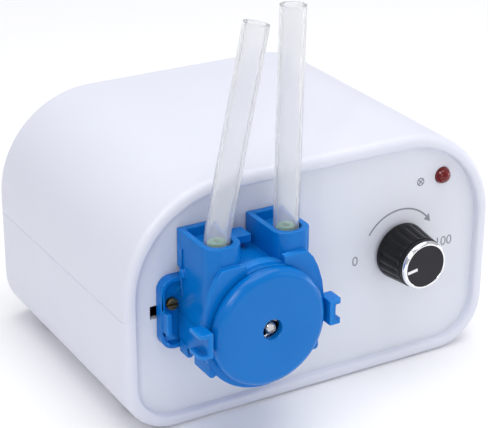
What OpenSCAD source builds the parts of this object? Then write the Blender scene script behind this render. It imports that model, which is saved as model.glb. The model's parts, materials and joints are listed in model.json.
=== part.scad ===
// Desktop peristaltic pump: a white instrument case with a speed knob and a pilot lamp,
// and a clip-on pump head with two hose tails on its front panel.
// Origin: middle of the case's flat underside. +Z up, the front panel faces -Y. Millimetres.

/* [Case] */
// Overall width of the case
case_w = 120; // [100:1:160]
// Overall depth of the case
case_d = 86; // [80:1:120]
// Overall height of the case
case_h = 72; // [70:1:90]
// Radius of the two top corners
top_r = 30.5; // [20:0.5:32]
// Radius of the two bottom corners
bottom_r = 15.5; // [10:0.5:18]
// Shell wall thickness
wall = 2.6; // [2.2:0.1:3.2]
// Width of the frame that the shell shows round each panel
lip_w = 3.9; // [3.6:0.1:5]
// How far each panel sits back from the case's end
panel_recess = 2.4; // [1.5:0.1:4]
// Panel thickness
panel_t = 2; // [1.5:0.1:3]

/* [Pump head] */
// Pump axis, distance left of the case's middle
pump_left = 27.3; // [25:0.1:32]
// Pump axis, height above the underside
pump_z = 36.2; // [32:0.1:42]
// Inner radius of the track that the tube is pressed against
track_r = 14.6; // [14:0.1:15]
// Barrel wall thickness
barrel_wall = 1.8; // [1.4:0.1:2.2]
// Length of the barrel, from the bracket to the flange's front face
barrel_len = 17.6; // [17:0.1:22]
// Radius of the turning front disc
disc_r = 17; // [16.6:0.1:17.3]
// Radius of the hole in the front disc
disc_hole_r = 2.9; // [2:0.1:3.5]
// Height of the tower tops above the pump axis
tower_top = 23.7; // [23:0.1:30]
// Width of one tower
tower_w = 10.8; // [10.6:0.1:11.2]

/* [Rollers and tube] */
// Radius of the steel drive sleeve that turns the rollers
sleeve_r = 1.6; // [1.5:0.05:1.8]
// Outer radius of the pump tube
tube_r = 2.5; // [2.3:0.1:2.6]
// Thickness of the pump tube where it is pressed flat
flat_t = 1.66; // [1.4:0.02:2]
// Radial gap at each rolling contact
contact_gap = 0.06; // [0.04:0.01:0.1]
// Radius of a roller's pin
pin_r = 1.5; // [1.2:0.1:1.7]

/* [Hoses] */
// Outer radius of the hose tails
hose_r = 3.5; // [3.2:0.1:3.6]
// Wall of the hose tails
hose_wall = 1; // [0.8:0.1:1.2]
// Length of the left hose tail
inlet_len = 65; // [40:1:120]
// Length of the right hose tail
outlet_len = 67; // [40:1:120]
// Sideways lean of the left hose, in degrees
inlet_lean = 11.5; // [1:0.5:14]
// Sideways lean of the right hose, in degrees
outlet_lean = 1; // [1:0.5:4]

/* [Controls] */
// Knob axis, distance right of the case's middle
knob_right = 29.5; // [25:0.5:33]
// Knob axis, height above the underside
knob_z = 36.5; // [32:0.5:42]
// Radius of the knob's skirt
knob_r = 8.6; // [8:0.1:10]
// Radius of the knob at its front
knob_front_r = 7.4; // [6.5:0.1:8]
// How far the knob stands out from the panel
knob_h = 13.3; // [12:0.1:18]
// Radius of the pilot lamp
led_r = 2.5; // [1.5:0.1:3]
// Pilot lamp, distance right of the case's middle
led_right = 43.7; // [40:0.1:46]
// Pilot lamp, height above the underside
led_z = 56.8; // [54:0.1:58]

/* [Motor] */
// Radius of the motor can
motor_r = 13.8; // [12:0.1:14.5]
// Length of the motor can
motor_len = 32; // [28:1:40]
// Radius of the motor shaft
shaft_r = 1.15; // [1:0.05:1.2]

/* [Hidden] */
$fn = 64;

// Clearances
fit = 0.02;          // between pieces pressed together
running = 0.05;      // radial, for a shaft that turns in a hole
slack = 0.1;         // between a panel and its groove
overrun = 1;         // how far a cut runs past a face

// Case
panel_y = -case_d / 2 + panel_recess;
rear_y = case_d / 2 - panel_recess;
seam_z = case_h / 2;
groove_inset = wall - 1.1;
rib_t = 1.6;
post_x = case_w / 2 - 10;
post_y = case_d / 2 - 15;
post_r = 4;
screw_seat_z = 20;
case_screw_r = 1.5;
case_screw_head_r = 2.8;
case_screw_head_h = 2;
case_screw_grip = 6;
case_screw_len = seam_z - screw_seat_z + case_screw_grip;
case_screw_slot = [3.2, 0.6, 1];
tongue_t = 1;
tongue_h = 2;
tongue_root = 6;
tongue_weld_h = 5.5;
tongue_post_gap = 7;

// Pump head: p is the distance in front of the panel
pump_x = -pump_left;
bracket_t = 2.4;
ear_t = 1.6;
ear_rim_t = 3.2;
ear_rim_w = 1.3;
ear_half_w = 22.2;
ear_half_h = 10.6;
ear_corner_r = 4;
bracket_r = 15.9;
bracket_boss_r = 12.9;
bracket_screw_x = 18.6;
bracket_screw_z = 2.8;
bracket_screw_r = 1;
bracket_screw_len = 8;
bracket_head_r = 1.7;
bracket_head_h = 1.6;
bracket_nut_r = 2.3;
bracket_nut_h = 2.1;
bracket_nut_flange_r = 2.8;
bracket_nut_flange_t = 0.5;
lug_x = ear_half_w - 1.8;
lug_t = 1.5;
lug_low = -4.7;
lug_top = 1.5;
lug_h = 6;
slot_inner = 16.8;
slot_outer = 24;
slot_h = 3.9;
barrel_r = track_r + barrel_wall;
barrel_back = bracket_t;
flange_p = barrel_back + barrel_len;
flange_t = 2;
back_wall = 1.5;
back_hole_r = 6;
flange_r = 18.8;
wing_in = 5.7;
wing_top = 18.4;
wing_out = 12.8;
wing_side = [[14.7, 16.2], [16.3, 13], [17.7, 8.5]];
notch_r = barrel_r + 0.5;
tower_in = 5.1;
tower_mid = tower_in + tower_w / 2;
tower_p0 = 0.3;
tower_back_z = 12.5;
tower_p1 = flange_p - 1.7;
tower_round = 4;
tower_wall = 1.7;
pocket_h = 3;
catch_tongue = [8.6, 5.6];
catch_rib = [6.2, 3.2];
nub_r = 1.3;
nub_out = 1.5;
nub_z = 12.2;
nub_p = 4.6;
clip_in = disc_r + 0.8;
clip_out = clip_in + 4;
clip_half_h = 3.6;
clip_web = 1.8;
clip_prong = 1.2;
clip_back = flange_p - flange_t;
apron_out = barrel_r + 0.3;
apron_t = 2.4;
apron_low = -9;
leg_low = -12.2;
leg_r = 1.2;
leg_out = apron_out + 0.3;
leg_spans = [[ear_rim_t + 0.2, 7.4], [11.6, flange_p - 0.2]];

// Rotor
disc_back = flange_p + 0.3;
disc_front = disc_back + 3.7;
disc_face_t = 2;
disc_cavity_r = track_r - 1.2;
roller_back = barrel_back + back_wall + 2;
roller_front = disc_front - disc_face_t - 0.3;
ring_r = track_r - fit - flat_t - contact_gap;
roller_r = (ring_r - sleeve_r - contact_gap) / 2;
roller_orbit = sleeve_r + contact_gap + roller_r;
rotor_rear_r = ring_r - 0.5;
rotor_rear_t = 1.4;
rotor_rear_p = roller_back - 0.3 - rotor_rear_t;
pin_front = disc_front - 0.9;
roller_angles = [50, 170, 290];

// Tube
tube_mid_p = 12.5;
tube_bore_r = 1.7;
flat_w = 7;
leg_start = 10.4;
leg_x = tower_mid;
band_angle = 49;
barb_p = tube_mid_p;
collar_z = 15.1;
collar_t = 1.6;
collar_r = 3.6;
barb_r = 1.65;
barb_bore_r = 1.1;
spigot_r = hose_r - hose_wall + 0.2;
spigot_h = 7;
hose_z = collar_z + collar_t;
hose_bend_h = 8;
channel_r = hose_r + 0.25;

// Controls
pot_r = 8.2;
pot_len = 8;
pot_back_t = 1;
pot_lug_pitch = 5;
pot_lug_w = 1.5;
pot_lug_t = 0.6;
pot_lug_p = 5;
pot_lug_out = 4;
pot_shaft_r = 3;
pot_thread_r = 3.5;
pot_thread_out = 5;
pot_nut_r = 5.6;
pot_nut_h = 2.2;
pot_washer_t = 0.5;
knob_gap = 1;
knob_ring_h = 1.3;
knob_flutes = 18;
knob_cavity_r = 6;
knob_cavity_p = 6;
knob_web_t = 1.5;
knob_rim_w = 1.1;
flute_r = 1;
flute_depth = 0.25;
flute_from = 1.2;
pointer_from = 2.7;
pointer_len = 3.4;
pointer_w = 0.9;
pointer_bottom = 0.6;
rest_pointer = 190;
led_base_h = 1;
led_out = 0.8;
led_pitch = 2.54;
led_leg_w = 0.5;
led_leg_len = 7;

// Board and rear jack
board_w = 44;
board_d = 36;
board_x = 20;
board_y = 9;
board_z = 8.4;
board_t = 1.6;
board_hole_x = 18.5;
board_hole_y = 14.5;
board_screw_r = 1.1;
board_screw_len = 4.5;
board_head_r = 2.2;
board_head_h = 1.6;
board_pilot_h = 6;
standoff_r = 2.8;
cap_at = [4, 8];
cap_r = 4;
cap_h = 11.5;
chip_at = [6, -10];
chip_size = [10, 4.6, 9];
block_x = -17;
block_size = [9, 18, 9];
block_pitch = 6;
block_hole_r = 1.7;
block_hole_h = 3;
board_top = board_z + board_t;
jack_x = 34;
jack_z = 22;
jack_r = 4;
jack_flange_r = 5.6;
jack_flange_t = 1.6;
jack_depth = 9.5;
jack_nut_r = 6.4;
jack_nut_h = 2.2;
jack_tail = 3;
jack_tab_x = 2.65;
jack_tab_t = 0.5;
jack_tab_w = 1.8;
jack_tab_len = 3.4;
jack_len = 12;
jack_socket_r = 2.8;
jack_pin_r = 1.05;
lead_r = 0.7;

// Motor: its front face sits behind the bracket's boss
motor_p = -panel_t - 0.4;
can_wall = 1;
motor_boss_r = 4.5;
motor_boss_h = 2.2;
armature_gap = 4;
armature_r = 9.6;
armature_len = 18;
armature_p = motor_p - can_wall - armature_gap - armature_len;
armature_slot = [3, 1.2];
commutator_r = 3;
commutator_h = 5;
magnet_in = 10.2;
magnet_split = 3;
brush_len = 2.5;
brush_w = 2.4;
brush_h = 3;
brush_p = armature_p - 4;
end_cap_t = 3;
end_cap_lip = 2;
end_cap_web = 0.7;
holder_w = 3;
holder_d = 4;
holder_h = armature_p - motor_p + motor_len - 0.6;
blade_x = 7.75;
blade_t = 0.5;
blade_w = 2.8;
blade_out = 5;
motor_screw_r = 1.3;
motor_screw_z = 8.5;
motor_screw_in = 2.4;
motor_head_r = 2.1;
motor_head_h = 1.4;
motor_head_depth = 1.6;

// ---------------------------------------------------------------- shared shapes

// Puts children on the pump axis, p in front of the panel, with their Z pointing out
module on_pump(p = 0) {
  translate([pump_x, panel_y - p, pump_z]) rotate([90, 0, 0]) children();
}

// The same on the front panel at x, z
module on_panel(x, z, p = 0) {
  translate([x, panel_y - p, z]) rotate([90, 0, 0]) children();
}

// And on the rear panel, with Z pointing out of the back
module on_rear(x, z, p = 0) {
  translate([x, rear_y + p, z]) rotate([90, 0, 180]) children();
}

// Both sides of the pump head
module both_sides() {
  children();
  mirror([1, 0, 0]) children();
}

module ring(outer, inner, h) {
  difference() {
    cylinder(r = outer, h = h);
    translate([0, 0, -overrun]) cylinder(r = inner, h = h + 2 * overrun);
  }
}

module hex(r, h) {
  cylinder(r = r, h = h, $fn = 6);
}

// Case cross-section, shrunk by inset: big radii above, small radii below
module case_outline(inset) {
  half = case_w / 2;
  for (s = [-1, 1]) {
    translate([s * (half - top_r), case_h - top_r]) circle(r = top_r - inset);
    translate([s * (half - bottom_r), bottom_r]) circle(r = bottom_r - inset);
  }
  translate([-(half - top_r), bottom_r]) square([2 * (half - top_r), case_h - bottom_r - inset]);
  translate([-(half - inset), bottom_r]) square([2 * (half - inset), case_h - top_r - bottom_r]);
  translate([-(half - bottom_r), inset]) square([2 * (half - bottom_r), bottom_r]);
}

// Slice of that section from y0 to y1
module case_slice(inset, y0, y1) {
  translate([0, y1, 0]) rotate([90, 0, 0]) linear_extrude(y1 - y0) case_outline(inset);
}

// The whole shell: frame, panel groove and rib at each end, open in the middle
module case_tube() {
  end = case_d / 2;
  groove_in = end - panel_recess;
  groove_out = groove_in - panel_t - 2 * slack;
  difference() {
    case_slice(0, -end, end);
    case_slice(lip_w, -end - overrun, end + overrun);
    case_slice(wall, -groove_out + rib_t, groove_out - rib_t);
    case_slice(groove_inset, -groove_in, -groove_out);
    case_slice(groove_inset, groove_out, groove_in);
  }
}

module four_posts() {
  for (sx = [-1, 1], sy = [-1, 1]) translate([sx * post_x, sy * post_y, 0]) children();
}

// Plate that fits the panel grooves
module panel_blank(y0) {
  case_slice(groove_inset + slack, y0, y0 + panel_t);
}

function unit(v) = v / norm(v);
function bezier(a, b, c, d, t) =
  a * pow(1 - t, 3) + b * 3 * t * pow(1 - t, 2) + c * 3 * t * t * (1 - t) + d * pow(t, 3);

// Round wire from a to b: leaves a along da and reaches b along db
module lead(a, da, b, db, r = lead_r, rings = 14, sides = 8) {
  ref = [0.31, 0.17, 0.11];
  pts = [for (i = [0 : rings]) bezier(a, a + da, b + db, b, i / rings)];
  tan = [for (i = [0 : rings])
    i == 0 ? unit(da) : i == rings ? unit(-db) : unit(pts[i + 1] - pts[i - 1])];
  verts = [for (i = [0 : rings])
    let (s = unit(cross(ref, tan[i])), u = cross(tan[i], s))
    for (k = [0 : sides - 1]) pts[i] + r * (cos(360 * k / sides) * s + sin(360 * k / sides) * u)];
  wall_faces = [for (i = [0 : rings - 1], k = [0 : sides - 1])
    let (n = (k + 1) % sides, lo = i * sides, hi = (i + 1) * sides)
    for (tri = [[lo + k, hi + k, hi + n], [lo + k, hi + n, lo + n]]) tri];
  start_cap = [for (k = [0 : sides - 1]) k];
  end_cap = [for (k = [sides - 1 : -1 : 0]) rings * sides + k];
  polyhedron(points = verts, faces = concat(wall_faces, [start_cap], [end_cap]));
}

// ---------------------------------------------------------------- case

module upper_shell() {
  color("whitesmoke") difference() {
    union() {
      intersection() {
        case_tube();
        translate([-case_w, -case_d, seam_z]) cube([2 * case_w, 2 * case_d, case_h]);
      }
      intersection() {
        four_posts() translate([0, 0, seam_z]) cylinder(r = post_r, h = case_h);
        case_slice(wall / 2, -case_d / 2, case_d / 2);
      }
    }
    four_posts() cylinder(r = case_screw_r + running, h = screw_seat_z + case_screw_len + overrun);
  }
}

module lower_shell() {
  color("whitesmoke") difference() {
    union() {
      intersection() {
        case_tube();
        translate([-case_w, -case_d, -overrun]) cube([2 * case_w, 2 * case_d, seam_z + overrun]);
      }
      intersection() {
        four_posts() cylinder(r = post_r, h = seam_z);
        case_slice(wall / 2, -case_d / 2, case_d / 2);
      }
      alignment_tongue();
      board_standoffs();
    }
    four_posts() {
      translate([0, 0, -overrun]) cylinder(r = case_screw_head_r + 0.3, h = screw_seat_z + overrun);
      cylinder(r = case_screw_r + 0.2, h = seam_z + overrun);
    }
    board_holes(board_z - board_pilot_h) cylinder(r = board_screw_r + running, h = board_pilot_h + overrun);
  }
}

// Two strips along the side walls that key the upper shell
module alignment_tongue() {
  len = 2 * (post_y - tongue_post_gap);
  for (s = [-1, 1])
    translate([s * (case_w / 2 - wall - slack - tongue_t / 2) - tongue_t / 2, -len / 2, seam_z - tongue_root])
      cube([tongue_t, len, tongue_root + tongue_h]);
  for (s = [-1, 1])
    translate([s * (case_w / 2 - wall - tongue_t / 2) - tongue_t / 2, -len / 2, seam_z - tongue_root])
      cube([tongue_t, len, tongue_weld_h]);
}

module board_holes(z) {
  for (sx = [-1, 1], sy = [-1, 1])
    translate([board_x + sx * board_hole_x, board_y + sy * board_hole_y, z]) children();
}

module board_standoffs() {
  board_holes(wall / 2) cylinder(r = standoff_r, h = board_z - wall / 2);
}

module case_screws() {
  color("silver") four_posts() {
    difference() {
      translate([0, 0, screw_seat_z - case_screw_head_h])
        cylinder(r = case_screw_head_r, h = case_screw_head_h);
      for (a = [0, 90])
        rotate(a) translate([-case_screw_slot.x / 2, -case_screw_slot.y / 2,
                             screw_seat_z - case_screw_head_h - overrun])
          cube([case_screw_slot.x, case_screw_slot.y, case_screw_slot.z + overrun]);
    }
    translate([0, 0, screw_seat_z]) cylinder(r = case_screw_r, h = case_screw_len);
  }
}

module front_panel() {
  color("gainsboro") difference() {
    panel_blank(panel_y);
    on_pump(-panel_t - overrun) {
      cylinder(r = bracket_boss_r + 0.3, h = panel_t + 2 * overrun);
      both_sides() translate([slot_inner, -slot_h / 2, 0])
        cube([slot_outer - slot_inner, slot_h, panel_t + 2 * overrun]);
    }
    at_bracket_screws(-panel_t - overrun)
      cylinder(r = bracket_screw_r + 0.15, h = panel_t + 2 * overrun);
    on_panel(knob_right, knob_z, -panel_t - overrun)
      cylinder(r = pot_thread_r + 0.1, h = panel_t + 2 * overrun);
    on_panel(led_right, led_z, -panel_t - overrun)
      cylinder(r = led_r + running, h = panel_t + 2 * overrun);
  }
}

module rear_panel() {
  color("gainsboro") difference() {
    panel_blank(rear_y - panel_t);
    on_rear(jack_x, jack_z, -panel_t - overrun)
      cylinder(r = jack_r + 0.1, h = panel_t + 2 * overrun);
  }
}

// ---------------------------------------------------------------- rear jack

module dc_jack() {
  color("dimgray") on_rear(jack_x, jack_z, 0) difference() {
    union() {
      cylinder(r = jack_flange_r, h = jack_flange_t);
      translate([0, 0, -jack_len]) cylinder(r = jack_r, h = jack_len + overrun);
    }
    translate([0, 0, jack_flange_t - jack_depth]) cylinder(r = jack_socket_r, h = jack_depth + overrun);
    translate([0, 0, -jack_len - overrun]) cylinder(r = jack_pin_r + fit, h = jack_len + overrun);
  }
}

module dc_jack_pin() {
  color("gold") on_rear(jack_x, jack_z, 0) {
    translate([0, 0, -jack_len - jack_tail]) cylinder(r = jack_pin_r, h = jack_len + jack_tail + 0.2);
    translate([jack_tab_x - jack_tab_t / 2, -jack_tab_w / 2, -jack_len - jack_tab_len])
      cube([jack_tab_t, jack_tab_w, jack_tab_len]);
  }
}

module dc_jack_nut() {
  color("silver") on_rear(jack_x, jack_z, -panel_t - jack_nut_h) difference() {
    hex(jack_nut_r, jack_nut_h);
    translate([0, 0, -overrun]) cylinder(r = jack_r + fit, h = jack_nut_h + 2 * overrun);
  }
}

// ---------------------------------------------------------------- pilot lamp

module led() {
  color("firebrick") on_panel(led_right, led_z, -panel_t - led_base_h) {
    cylinder(r = led_r + 0.4, h = led_base_h);
    cylinder(r = led_r, h = panel_t + led_out);
    translate([0, 0, panel_t + led_out]) intersection() {
      sphere(r = led_r);
      cylinder(r = led_r, h = led_r);
    }
    for (s = [-1, 1])
      translate([(s * led_pitch - led_leg_w) / 2, -led_leg_w / 2, -led_leg_len])
        cube([led_leg_w, led_leg_w, led_leg_len + 0.1]);
  }
}

// ---------------------------------------------------------------- speed control

module on_knob(p = 0) {
  on_panel(knob_right, knob_z, p) children();
}

function knob_r_at(p) =
  knob_r + (knob_front_r - knob_r) * (p - knob_gap) / (knob_h - knob_ring_h - knob_gap);

module knob_body() {
  body_h = knob_h - knob_ring_h - knob_gap;
  color("#1b1b1d") on_knob(knob_gap) difference() {
    cylinder(r1 = knob_r, r2 = knob_front_r, h = body_h);
    translate([0, 0, -overrun]) cylinder(r = knob_cavity_r, h = knob_cavity_p + overrun);
    translate([0, 0, -overrun]) cylinder(r = pot_shaft_r + fit, h = body_h - knob_web_t + overrun);
    for (k = [0 : knob_flutes - 1]) rotate(k * 360 / knob_flutes) knob_flute(body_h);
  }
}

// One groove down the taper, stopping short of the skirt's edge
module knob_flute(body_h) {
  taper = atan((knob_r - knob_front_r) / body_h);
  translate([knob_r + flute_r - flute_depth, 0, flute_from]) rotate([0, -taper, 0])
    cylinder(r = flute_r, h = body_h + 2 * overrun);
}

module knob_ring() {
  inner = knob_front_r - knob_rim_w;
  outer = knob_front_r - 0.1;
  color("silver") on_knob(knob_h - knob_ring_h) rotate_extrude()
    polygon([[inner, 0], [outer, 0], [outer, knob_ring_h * 0.45],
      [inner + 0.45, knob_ring_h], [inner, knob_ring_h]]);
}

module knob_cap() {
  color("#3c3c40") on_knob(knob_h - knob_ring_h) difference() {
    cylinder(r = knob_front_r - knob_rim_w - fit, h = knob_ring_h - 0.1);
    rotate(rest_pointer) knob_pointer_bar(0.05, pointer_bottom, 2);
  }
}

// The pointer's bar: grow widens it, z0 and h place it in the cap
module knob_pointer_bar(grow, z0, h) {
  translate([pointer_from - grow, -pointer_w / 2 - grow, z0])
    cube([pointer_len + grow, pointer_w + 2 * grow, h]);
}

module knob_pointer() {
  color("white") on_knob(knob_h - knob_ring_h) intersection() {
    rotate(rest_pointer) knob_pointer_bar(0, pointer_bottom, knob_ring_h - 0.1 - pointer_bottom);
    cylinder(r = knob_front_r - knob_rim_w - fit, h = knob_ring_h);
  }
}

module pot_shaft() {
  back = panel_t + pot_len - pot_back_t - 0.5;
  front = knob_h - knob_ring_h - knob_web_t - 0.2;
  color("silver") on_knob(-back) cylinder(r = pot_shaft_r, h = front + back);
}

module pot_body() {
  color("slategray") on_knob(-panel_t) difference() {
    union() {
      translate([0, 0, -pot_len]) cylinder(r = pot_r, h = pot_len);
      cylinder(r = pot_thread_r, h = panel_t + pot_thread_out);
      for (s = [-1, 0, 1])
        translate([s * pot_lug_pitch - pot_lug_w / 2, -pot_r - pot_lug_out, -pot_lug_p])
          cube([pot_lug_w, pot_lug_out + 2, pot_lug_t]);
    }
    translate([0, 0, -pot_len + pot_back_t])
      cylinder(r = pot_shaft_r + running, h = pot_len + panel_t + pot_thread_out);
  }
}

module pot_washer() {
  color("silver") on_knob(0) ring(pot_nut_r + 0.1, pot_thread_r + fit, pot_washer_t);
}

module pot_nut() {
  color("silver") on_knob(pot_washer_t) difference() {
    hex(pot_nut_r, pot_nut_h);
    translate([0, 0, -overrun]) cylinder(r = pot_thread_r + fit, h = pot_nut_h + 2 * overrun);
  }
}

// ---------------------------------------------------------------- board

module control_board() {
  color("darkgreen") difference() {
    translate([board_x - board_w / 2, board_y - board_d / 2, board_z]) cube([board_w, board_d, board_t]);
    board_holes(board_z - overrun) cylinder(r = board_screw_r + 0.4, h = board_t + 2 * overrun);
  }
}

module board_screws() {
  color("silver") board_holes(board_z) {
    translate([0, 0, -board_screw_len]) cylinder(r = board_screw_r, h = board_screw_len + board_t);
    translate([0, 0, board_t]) cylinder(r = board_head_r, h = board_head_h);
  }
}

module board_capacitor() {
  color("navy") translate([board_x + cap_at[0], board_y + cap_at[1], board_top])
    cylinder(r = cap_r, h = cap_h);
}

module board_terminals() {
  color("seagreen") translate([board_x + block_x, board_y - block_size[1] / 2, board_top])
    difference() {
      cube(block_size);
      for (k = [0 : 2])
        translate([block_size[0] / 2, block_pitch * (k + 0.5), block_size[2] - block_hole_h])
          cylinder(r = block_hole_r, h = block_hole_h + overrun);
    }
}

module driver_chip() {
  color("#222222") translate([board_x + chip_at[0], board_y + chip_at[1], board_top])
    cube(chip_size);
}

// ---------------------------------------------------------------- motor

module motor_can() {
  color("silver") on_pump(motor_p) difference() {
    union() {
      translate([0, 0, -motor_len]) cylinder(r = motor_r, h = motor_len);
      cylinder(r = motor_boss_r, h = motor_boss_h);
    }
    translate([0, 0, -motor_len - overrun])
      cylinder(r = motor_r - can_wall, h = motor_len - can_wall + overrun);
    translate([0, 0, -motor_len]) cylinder(r = shaft_r + running, h = motor_len + motor_boss_h + overrun);
    motor_screw_holes(-can_wall - overrun) cylinder(r = motor_screw_r + 0.05, h = 3 * overrun);
  }
}

module motor_screw_holes(z) {
  for (s = [-1, 1]) translate([0, s * motor_screw_z, z]) children();
}

module motor_magnets() {
  color("#3a3a3d") on_pump(armature_p) difference() {
    ring(motor_r - can_wall - fit, magnet_in, armature_len);
    for (a = [0, 90]) rotate(a) translate([-motor_r, -magnet_split / 2, -overrun])
      cube([2 * motor_r, magnet_split, armature_len + 2 * overrun]);
  }
}

module motor_armature() {
  color("#8a4b2a") on_pump(armature_p) {
    difference() {
      ring(armature_r, shaft_r + fit, armature_len);
      for (k = [0 : 4]) rotate(72 * k)
        translate([armature_r - armature_slot[0], -armature_slot[1] / 2, -overrun])
          cube([armature_slot[0] + overrun, armature_slot[1], armature_len + 2 * overrun]);
    }
    translate([0, 0, -commutator_h]) ring(commutator_r, shaft_r + fit, commutator_h + 0.1);
  }
}

module motor_shaft() {
  back = motor_len + end_cap_t - end_cap_web - 0.1;
  color("gainsboro") on_pump(motor_p - back)
    cylinder(r = shaft_r, h = back - motor_p + disc_front - 1.2);
}

module motor_brushes() {
  color("#5a3a20") on_pump(brush_p) both_sides()
    translate([commutator_r + running, -brush_w / 2, 0]) cube([brush_len, brush_w, brush_h]);
}

module motor_end_cap() {
  color("#26262a") on_pump(motor_p - motor_len - end_cap_t) difference() {
    union() {
      cylinder(r = motor_r, h = end_cap_t);
      translate([0, 0, end_cap_t]) cylinder(r = motor_r - can_wall - fit, h = end_cap_lip);
      both_sides() translate([commutator_r + brush_len + running + fit, -holder_d / 2, end_cap_t])
        cube([holder_w, holder_d, holder_h]);
    }
    translate([0, 0, end_cap_web]) cylinder(r = shaft_r + running, h = end_cap_t + end_cap_lip);
    both_sides() translate([blade_x - blade_t / 2 - slack, -blade_w / 2 - 2 * slack, -overrun])
      cube([blade_t + 2 * slack, blade_w + 4 * slack, end_cap_t + overrun]);
  }
}

module motor_terminals() {
  color("goldenrod") on_pump(motor_p - motor_len - end_cap_t - blade_out)
    both_sides() translate([blade_x - blade_t / 2, -blade_w / 2, 0])
      cube([blade_t, blade_w, blade_out + end_cap_t - 0.2]);
}

module motor_screws() {
  color("silver") on_pump(0) motor_screw_holes(0) {
    seat = bracket_t - motor_head_depth;
    back = motor_p - motor_screw_in;
    translate([0, 0, seat]) cylinder(r = motor_head_r, h = motor_head_h);
    translate([0, 0, back]) cylinder(r = motor_screw_r, h = seat - back);
  }
}

module drive_sleeve() {
  chamfer = 0.4;
  len = disc_front - 0.8 - (bracket_t + 1);
  color("silver") on_pump(bracket_t + 1) rotate_extrude()
    polygon([[shaft_r + fit, 0], [sleeve_r, 0], [sleeve_r, len - chamfer],
      [sleeve_r - chamfer, len], [shaft_r + fit, len]]);
}

// ---------------------------------------------------------------- bracket

module ear_outline(inset) {
  x0 = ear_half_w - ear_corner_r;
  y0 = ear_half_h - ear_corner_r;
  for (s = [-1, 1]) translate([x0, s * y0]) circle(r = ear_corner_r - inset);
  translate([0, -ear_half_h + inset]) square([x0, 2 * (ear_half_h - inset)]);
  translate([0, -y0]) square([ear_half_w - inset, 2 * y0]);
}

// Both bracket screws' places, p in front of the panel
module at_bracket_screws(p) {
  on_pump(p) both_sides() translate([bracket_screw_x, bracket_screw_z, 0]) children();
}

module base_bracket() {
  color("dodgerblue") on_pump(0) difference() {
    union() {
      cylinder(r = bracket_r, h = bracket_t);
      translate([0, 0, motor_p]) cylinder(r = bracket_boss_r, h = -motor_p + overrun / 2);
      both_sides() {
        linear_extrude(ear_t) ear_outline(0);
        linear_extrude(ear_rim_t) difference() {
          ear_outline(0);
          ear_outline(ear_rim_w);
          circle(r = apron_out + 0.3);
        }
        translate([lug_x, lug_low, 0]) cube([lug_t, lug_top - lug_low, lug_h]);
      }
    }
    translate([0, 0, motor_p - overrun]) cylinder(r = motor_boss_r + 0.2, h = 8);
    motor_screw_holes(motor_p - overrun) cylinder(r = motor_screw_r + 0.2, h = 8);
    motor_screw_holes(bracket_t - motor_head_depth)
      cylinder(r = motor_head_r + 0.2, h = motor_head_depth + overrun);
    both_sides() translate([bracket_screw_x, bracket_screw_z, -overrun])
      cylinder(r = bracket_screw_r + 0.15, h = ear_t + 2 * overrun);
  }
}

module bracket_screws() {
  color("darkgoldenrod") at_bracket_screws(0) {
    difference() {
      translate([0, 0, ear_t]) cylinder(r = bracket_head_r, h = bracket_head_h);
      translate([-bracket_head_r - overrun, -0.3, ear_t + bracket_head_h - 0.8])
        cube([2 * (bracket_head_r + overrun), 0.6, 2]);
    }
    translate([0, 0, ear_t - bracket_screw_len]) cylinder(r = bracket_screw_r, h = bracket_screw_len);
  }
}

module bracket_nuts() {
  color("silver") at_bracket_screws(-panel_t - bracket_nut_h - bracket_nut_flange_t) {
    difference() {
      union() {
        hex(bracket_nut_r, bracket_nut_h);
        translate([0, 0, bracket_nut_h]) cylinder(r = bracket_nut_flange_r, h = bracket_nut_flange_t);
      }
      translate([0, 0, -overrun]) cylinder(r = bracket_screw_r + fit, h = 5);
    }
  }
}

// ---------------------------------------------------------------- pump head

// Plan of a tower, x from the pump axis and y forward from the panel
module tower_plan(inset, back) {
  x0 = tower_in + inset;
  w = tower_w - 2 * inset;
  r = tower_round - inset * 0.5;
  front = tower_p1 - inset;
  translate([x0, back]) square([w, front - r - back]);
  translate([x0 + r, back]) square([w - 2 * r, front - back]);
  for (x = [x0 + r, x0 + w - r]) translate([x, front - r]) circle(r = r);
}

// Extrudes a plan drawn as (x, p) upwards from z0, measured from the pump axis
module raise_plan(z0, z1) {
  translate([pump_x, panel_y, pump_z + z0]) linear_extrude(z1 - z0) mirror([0, 1]) children();
}

module tube_channel(side) {
  translate([pump_x + side * leg_x, panel_y - barb_p, pump_z]) children();
}

// Flange outline: round below, two shoulders with level tops above
module flange_outline() {
  difference() {
    circle(r = flange_r);
    translate([-30, 0]) square([60, 30]);
  }
  circle(r = notch_r);
  both_sides() polygon(concat([[wing_in, 8], [wing_in, wing_top], [wing_out, wing_top]],
    wing_side, [[flange_r, 0], [10, -2]]));
}

module pump_housing() {
  color("dodgerblue") difference() {
    union() {
      on_pump(barrel_back) cylinder(r = barrel_r, h = barrel_len - 0.5);
      on_pump(flange_p - flange_t) linear_extrude(flange_t) flange_outline();
      raise_plan(0, tower_back_z) both_sides() tower_plan(0, ear_rim_t + slack);
      tower_backs();
      on_pump(0) both_sides() {
        housing_clip();
        housing_apron();
      }
      top_catch();
      tower_nub();
    }
    on_pump(barrel_back + back_wall) cylinder(r = track_r, h = 40);
    on_pump(0) cylinder(r = back_hole_r, h = 10);
    for (side = [-1, 1]) {
      tube_channel(side) {
        cylinder(r = tube_r + fit, h = collar_z + overrun);
        translate([0, 0, collar_z]) cylinder(r = channel_r, h = tower_top);
      }
    }
    raise_plan(tower_top - pocket_h, tower_top + overrun) both_sides() tower_plan(tower_wall, 2.4);
  }
}

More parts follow.
